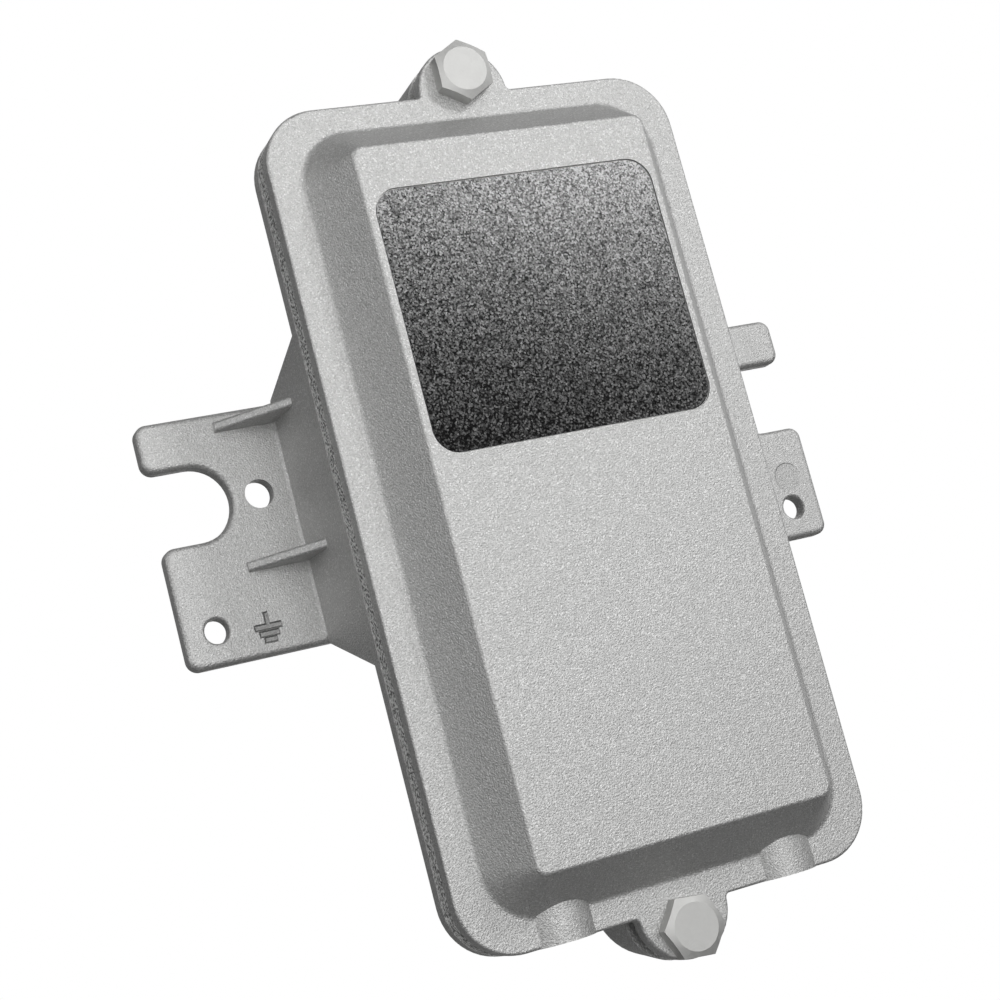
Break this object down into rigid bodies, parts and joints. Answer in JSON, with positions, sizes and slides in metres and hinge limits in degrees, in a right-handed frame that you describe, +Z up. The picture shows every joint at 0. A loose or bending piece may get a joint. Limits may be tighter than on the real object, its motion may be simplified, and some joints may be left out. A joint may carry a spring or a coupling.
{
  "type": "ethernet surge protector",
  "caption": "Outdoor die-cast ethernet surge protector with a bolted cover, slotted mounting wings and cable entries at the bottom.",
  "frame": {"origin": "back mounting face, midway between the two lower mounting holes", "axes": "+Z up with the cable entries down, +Y into the wall, +X to the right as seen facing the cover"},
  "size_m": [0.132, 0.0408, 0.1661],
  "materials": {
    "die_casting": "blasted, clear-sealed die casting",
    "gasket_rubber": "cut sponge rubber",
    "grommet_rubber": "matt moulded rubber",
    "board_laminate": "green solder resist",
    "label_film": "dark film with bright flakes",
    "bolt_steel": "turned stainless",
    "ring_nylon": "black nylon",
    "screw_steel": "zinc-plated",
    "strap_copper": "bare copper strip",
    "shield_tin": "tin-plated sheet",
    "insert_plastic": "moulded nylon",
    "contact_gold": "gold-plated spring",
    "tube_ceramic": "glazed ceramic with tinned electrodes",
    "diode_plastic": "moulded epoxy",
    "resistor_body": "lacquered film resistor"
  },
  "bodies": {
    "housing": {"base_housing": "die_casting", "gasket": "gasket_rubber", "gasket_bridge": "gasket_rubber", "left_grommet": "grommet_rubber", "right_grommet": "grommet_rubber", "circuit_board": "board_laminate", "line_jack_shield": "shield_tin", "line_jack_insert": "insert_plastic", "line_jack_contacts": "contact_gold", "equipment_jack_shield": "shield_tin", "equipment_jack_insert": "insert_plastic", "equipment_jack_contacts": "contact_gold", "gas_tube_1": "tube_ceramic", "gas_tube_2": "tube_ceramic", "gas_tube_3": "tube_ceramic", "gas_tube_4": "tube_ceramic", "surge_diode_1": "diode_plastic", "surge_diode_2": "diode_plastic", "surge_diode_3": "diode_plastic", "surge_diode_4": "diode_plastic", "line_resistor_1": "resistor_body", "line_resistor_2": "resistor_body", "line_resistor_3": "resistor_body", "line_resistor_4": "resistor_body", "line_resistor_5": "resistor_body", "line_resistor_6": "resistor_body", "line_resistor_7": "resistor_body", "line_resistor_8": "resistor_body", "board_screws": "screw_steel", "ground_strap": "strap_copper", "ground_washer": "screw_steel", "ground_screw": "screw_steel"},
    "cover": {"cover": "die_casting", "label": "label_film"},
    "top_bolt": {"top_bolt": "bolt_steel", "top_bolt_ring": "ring_nylon"},
    "bottom_bolt": {"bottom_bolt": "bolt_steel", "bottom_bolt_ring": "ring_nylon"}
  },
  "joints": [
    {"name": "cover_lift", "type": "slide", "parent": "housing", "child": "cover", "axis": [0, -1, 0], "range_m": [0, 0.045]},
    {"name": "top_bolt_turn", "type": "hinge", "parent": "cover", "child": "top_bolt", "pos_m": [0, -0.0335, 0.0859], "axis": [0, -1, 0], "continuous": true},
    {"name": "bottom_bolt_turn", "type": "hinge", "parent": "cover", "child": "bottom_bolt", "pos_m": [0, -0.0335, -0.0691], "axis": [0, -1, 0], "continuous": true}
  ]
}
